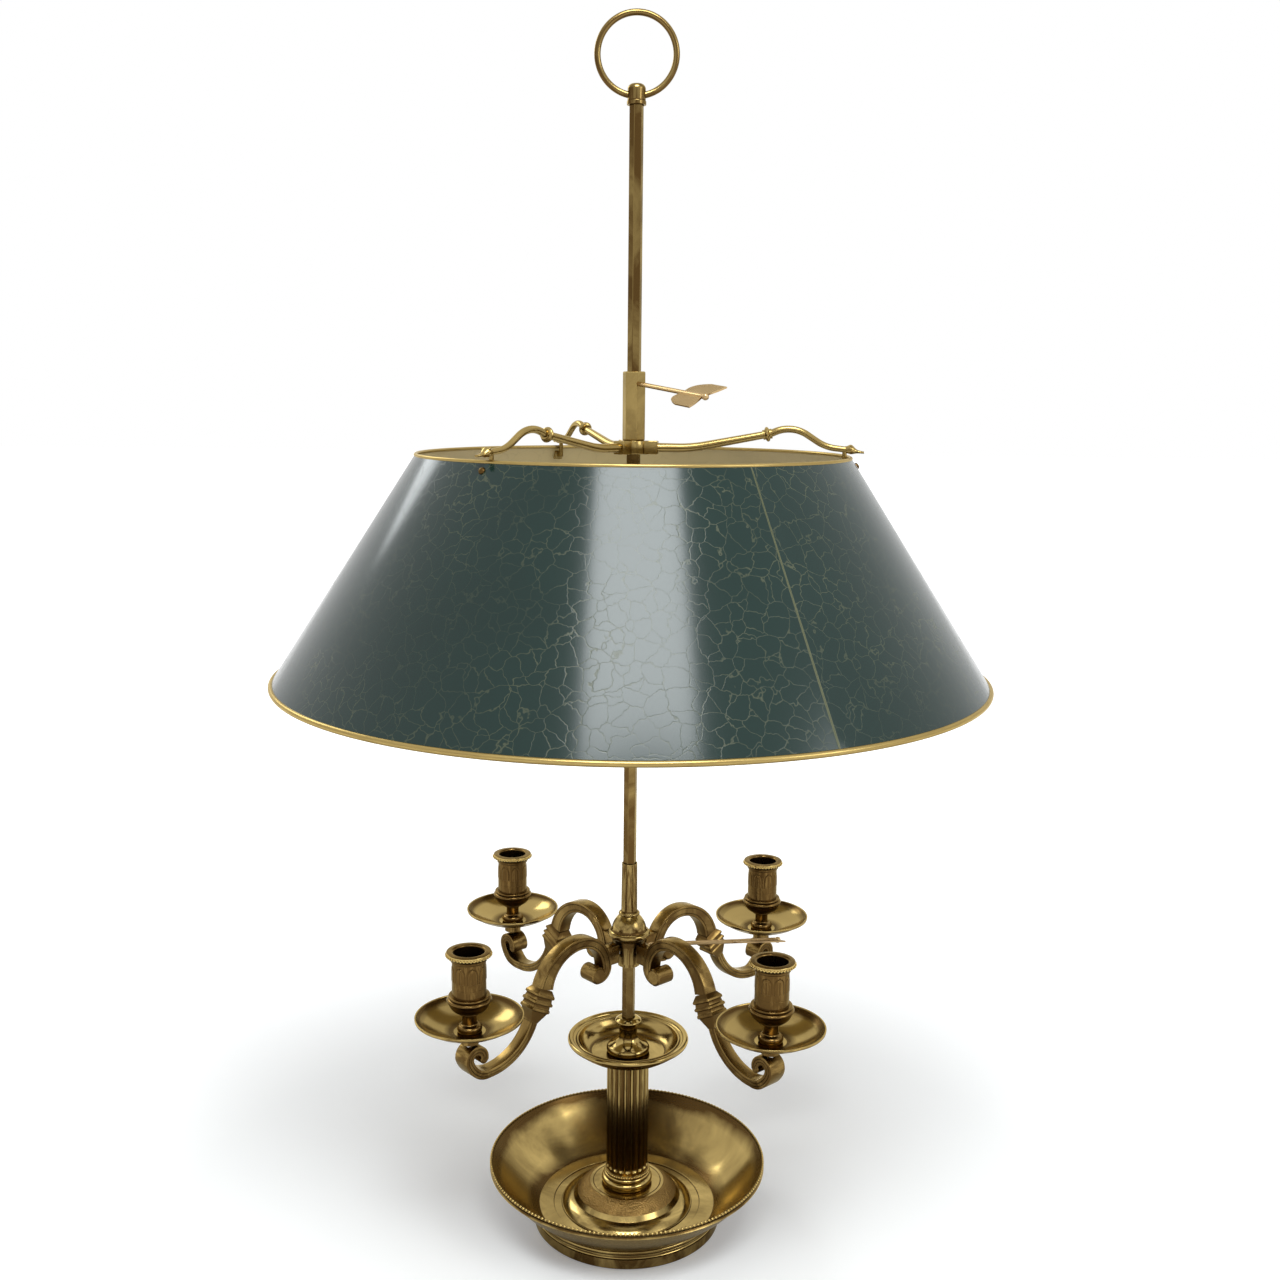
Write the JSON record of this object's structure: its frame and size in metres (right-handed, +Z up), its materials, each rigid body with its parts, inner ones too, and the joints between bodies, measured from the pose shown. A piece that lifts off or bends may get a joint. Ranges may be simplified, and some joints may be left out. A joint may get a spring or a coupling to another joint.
{
  "type": "bouillotte lamp",
  "caption": "Brass candle lamp with a dished base, a fluted column, scrolled candle arms and a tapered metal shade, both sliding and turning on a central stem.",
  "frame": {"origin": "centre of the round base, on the surface it stands on", "axes": "+Z up along the stem, -Y towards the pictured front, +X to the right seen from the front"},
  "size_m": [0.5126, 0.5126, 0.8865],
  "materials": {
    "felt": "baize glued under the ballast",
    "iron": "raw casting",
    "steel": "turned",
    "dish_brass": "spun and polished, aged",
    "bead_brass": "polished beading",
    "plinth_brass": "matt stippled dome with polished lines",
    "column_brass": "turned and polished, dark in the hollows",
    "stem_brass": "drawn bar, polished",
    "hub_brass": "cast and polished, dark in the hollows",
    "arm_brass": "cast, lightly polished",
    "pan_brass": "turned and polished",
    "cup_brass": "turned, with engraved leaves",
    "carrier_brass": "cast and polished",
    "screw_brass": "darkened heads",
    "key_brass": "cast and polished",
    "shade_paint": "dark green with fine gilt crackle outside, pale gilt inside",
    "shade_gilt": "gilt rolled edge"
  },
  "bodies": {
    "stand": {"felt_pad": "felt", "foot_ring": "dish_brass", "ballast_plate": "iron", "base_washer": "steel", "base_nut": "steel", "tie_rod": "steel", "dish_bowl": "dish_brass", "rim_beading": "bead_brass", "column_plinth": "plinth_brass", "column_base": "column_brass", "base_beading": "bead_brass", "fluted_column": "column_brass", "centre_pan": "column_brass", "pan_boss": "column_brass", "stem_bar": "stem_brass", "stem_cap": "stem_brass", "lifting_ring": "stem_brass"},
    "cluster_guide": {"hub_guide_ring": "hub_brass"},
    "candle_cluster": {"hub_body": "hub_brass", "hub_neck": "hub_brass", "candle_arm_1": "arm_brass", "candle_arm_2": "arm_brass", "candle_arm_3": "arm_brass", "candle_arm_4": "arm_brass", "arm_studs": "steel", "drip_pan_1": "pan_brass", "drip_pan_2": "pan_brass", "drip_pan_3": "pan_brass", "drip_pan_4": "pan_brass", "cup_vase_1": "cup_brass", "cup_vase_2": "cup_brass", "cup_vase_3": "cup_brass", "cup_vase_4": "cup_brass", "candle_cup_1": "cup_brass", "candle_cup_2": "cup_brass", "candle_cup_3": "cup_brass", "candle_cup_4": "cup_brass", "cup_studs": "steel"},
    "cluster_key": {"hub_key_shaft": "key_brass", "hub_key_vanes": "key_brass"},
    "shade_guide": {"carrier_guide_ring": "carrier_brass"},
    "shade_carrier": {"carrier_sleeve": "carrier_brass", "spider_collar": "carrier_brass", "spider_arm_1": "carrier_brass", "spider_arm_2": "carrier_brass", "spider_arm_3": "carrier_brass", "spider_knuckles": "carrier_brass", "swan_head_1": "carrier_brass", "swan_head_2": "carrier_brass", "swan_head_3": "carrier_brass", "shade_skin": "shade_paint", "shade_top_rim": "shade_gilt", "shade_bottom_rim": "shade_gilt", "shade_screws": "screw_brass"},
    "shade_key": {"shade_key_shaft": "key_brass", "shade_key_vanes": "key_brass"}
  },
  "joints": [
    {"name": "cluster_height", "type": "slide", "parent": "stand", "child": "cluster_guide", "axis": [0, 0, 1], "range_m": [-0.04, 0.09]},
    {"name": "cluster_turn", "type": "hinge", "parent": "cluster_guide", "child": "candle_cluster", "pos_m": [0, 0, 0.215], "axis": [0, 0, 1], "continuous": true},
    {"name": "cluster_key_turn", "type": "hinge", "parent": "candle_cluster", "child": "cluster_key", "pos_m": [0, 0, 0.222], "axis": [0.9983, 0.0523, 0.0262], "range_deg": [0, 360]},
    {"name": "shade_height", "type": "slide", "parent": "stand", "child": "shade_guide", "axis": [0, 0, 1], "range_m": [-0.2, 0.17]},
    {"name": "shade_turn", "type": "hinge", "parent": "shade_guide", "child": "shade_carrier", "pos_m": [0, 0, 0.592], "axis": [0, 0, 1], "continuous": true},
    {"name": "shade_key_turn", "type": "hinge", "parent": "shade_carrier", "child": "shade_key", "pos_m": [0, 0, 0.639], "axis": [0.4055, -0.9107, -0.0785], "range_deg": [0, 360]}
  ]
}
